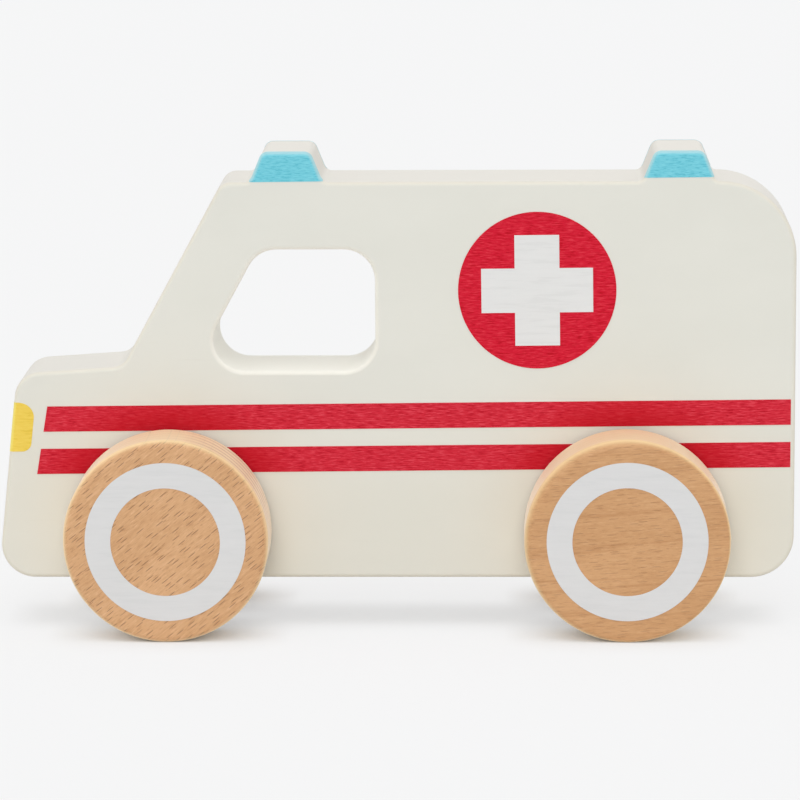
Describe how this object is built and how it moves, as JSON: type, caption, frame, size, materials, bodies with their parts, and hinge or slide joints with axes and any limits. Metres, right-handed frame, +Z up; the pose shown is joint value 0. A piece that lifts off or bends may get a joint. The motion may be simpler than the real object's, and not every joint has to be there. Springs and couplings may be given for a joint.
{
  "type": "toy ambulance",
  "caption": "Wooden push-along toy ambulance: a rounded slab body with a grip window, painted stripes, emblem discs and roof lights, on free-turning beech wheelsets.",
  "frame": {"origin": "on the floor under the middle of the toy, halfway along its length and midway between its sides", "axes": "+Z up, nose towards -X, left side towards -Y, axles along Y"},
  "size_m": [0.1773, 0.0546, 0.1071],
  "materials": {
    "cream_painted_wood": "matt cream paint on wood",
    "beech": "sanded, oiled",
    "dowel_wood": "sanded",
    "white_print": "matt print",
    "red_print": "matt print",
    "blue_paint": "satin paint",
    "yellow_paint": "satin paint"
  },
  "bodies": {
    "body": {"body": "cream_painted_wood", "left_upper_stripe": "red_print", "right_upper_stripe": "red_print", "left_lower_stripe": "red_print", "right_lower_stripe": "red_print", "left_emblem_disc": "red_print", "right_emblem_disc": "red_print", "left_front_light": "blue_paint", "right_front_light": "blue_paint", "left_rear_light": "blue_paint", "right_rear_light": "blue_paint", "left_headlight": "yellow_paint", "right_headlight": "yellow_paint"},
    "front_wheelset": {"front_axle": "dowel_wood", "front_left_wheel": "beech", "front_right_wheel": "beech", "front_left_ring": "white_print", "front_right_ring": "white_print"},
    "rear_wheelset": {"rear_axle": "dowel_wood", "rear_left_wheel": "beech", "rear_right_wheel": "beech", "rear_left_ring": "white_print", "rear_right_ring": "white_print"}
  },
  "joints": [
    {"name": "front_axle_spin", "type": "hinge", "parent": "body", "child": "front_wheelset", "pos_m": [-0.0505, 0, 0.0227], "axis": [0, 1, 0], "continuous": true},
    {"name": "rear_axle_spin", "type": "hinge", "parent": "body", "child": "rear_wheelset", "pos_m": [0.0512, 0, 0.0227], "axis": [0, 1, 0], "continuous": true}
  ]
}
